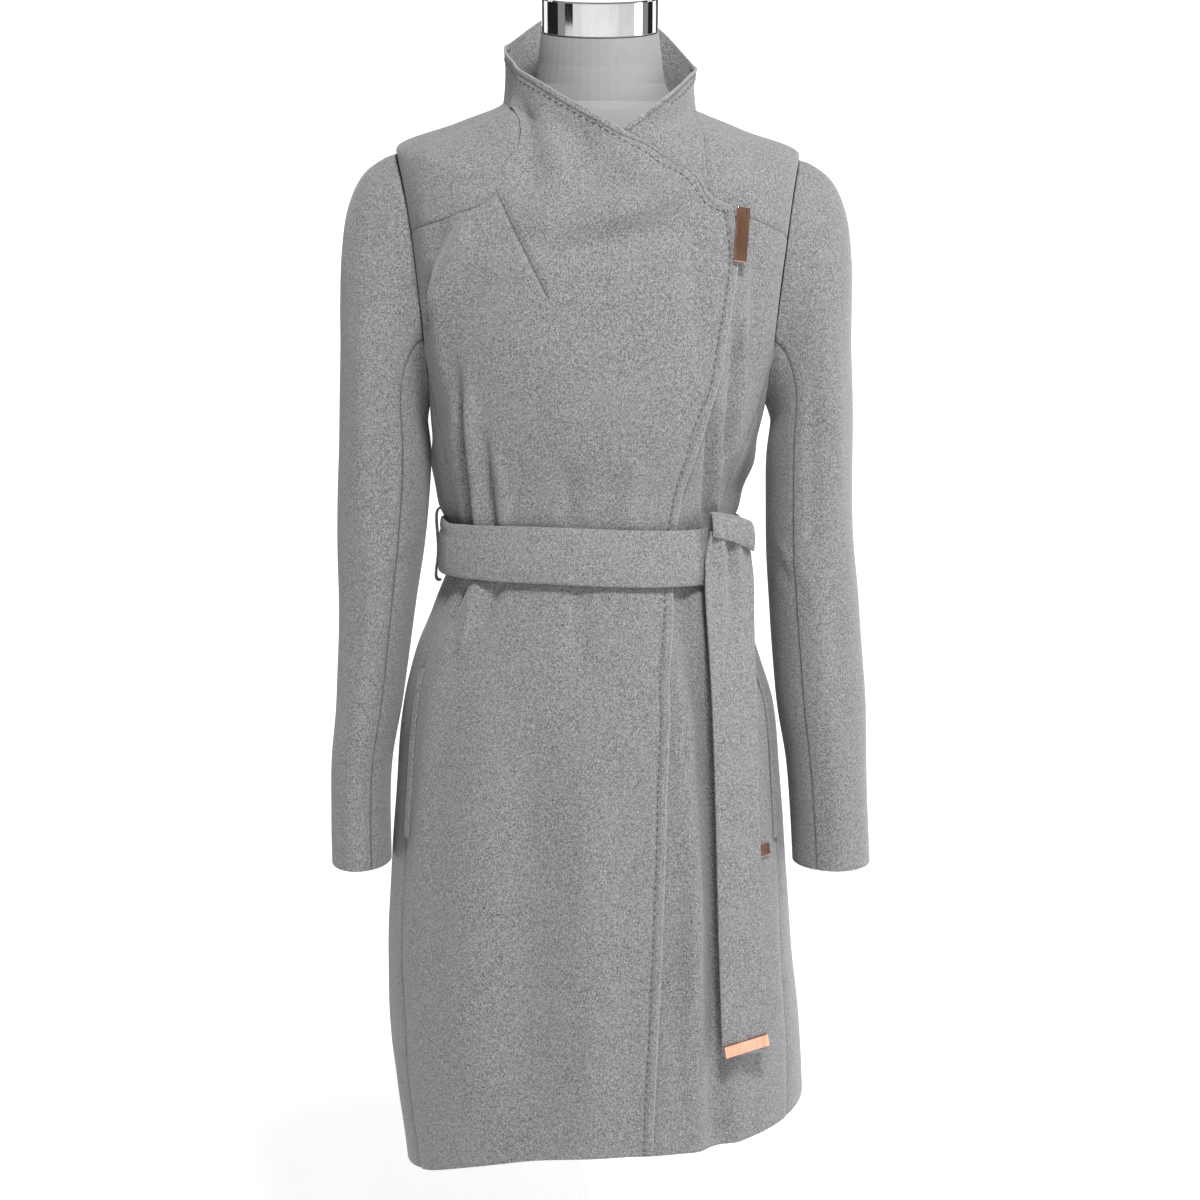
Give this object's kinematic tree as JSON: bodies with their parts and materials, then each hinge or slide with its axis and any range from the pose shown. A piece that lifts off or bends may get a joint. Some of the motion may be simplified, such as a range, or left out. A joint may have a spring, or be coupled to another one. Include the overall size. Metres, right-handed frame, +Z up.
{
  "type": "belted wrap coat on a limbless dress form with a pole stand",
  "caption": "Grey wool wrap coat with a high funnel collar, asymmetric front, tied belt and rose-gold bars, on a limbless dress form with a pole and round base.",
  "frame": {"origin": "on the floor, at the middle of the round base", "axes": "+Z up the pole to the neck cap; the coat's front faces -Y; the wearer's left side is at +X"},
  "size_m": [0.5118, 0.34, 1.4881],
  "materials": {
    "wool": "matte",
    "belt_wool": "matte",
    "form_cloth": "matte",
    "chrome": "polished",
    "rose_metal": "polished"
  },
  "bodies": {
    "root": {"form_torso": "form_cloth", "form_neck_cap": "chrome", "stand_pole": "chrome", "stand_base": "chrome", "right_front": "wool", "left_front": "wool", "side_right": "wool", "side_left": "wool", "yoke_right": "wool", "yoke_left": "wool", "back": "wool", "collar_back": "wool", "sleeve_right_under": "wool", "sleeve_right_upper": "wool", "sleeve_left_under": "wool", "sleeve_left_upper": "wool", "belt_waist": "belt_wool", "belt_tail": "belt_wool", "belt_knot": "belt_wool", "belt_loop_right": "wool", "belt_loop_left": "wool", "bar_lapel": "rose_metal", "bar_belt_end": "rose_metal", "bar_pocket": "rose_metal"}
  },
  "joints": []
}
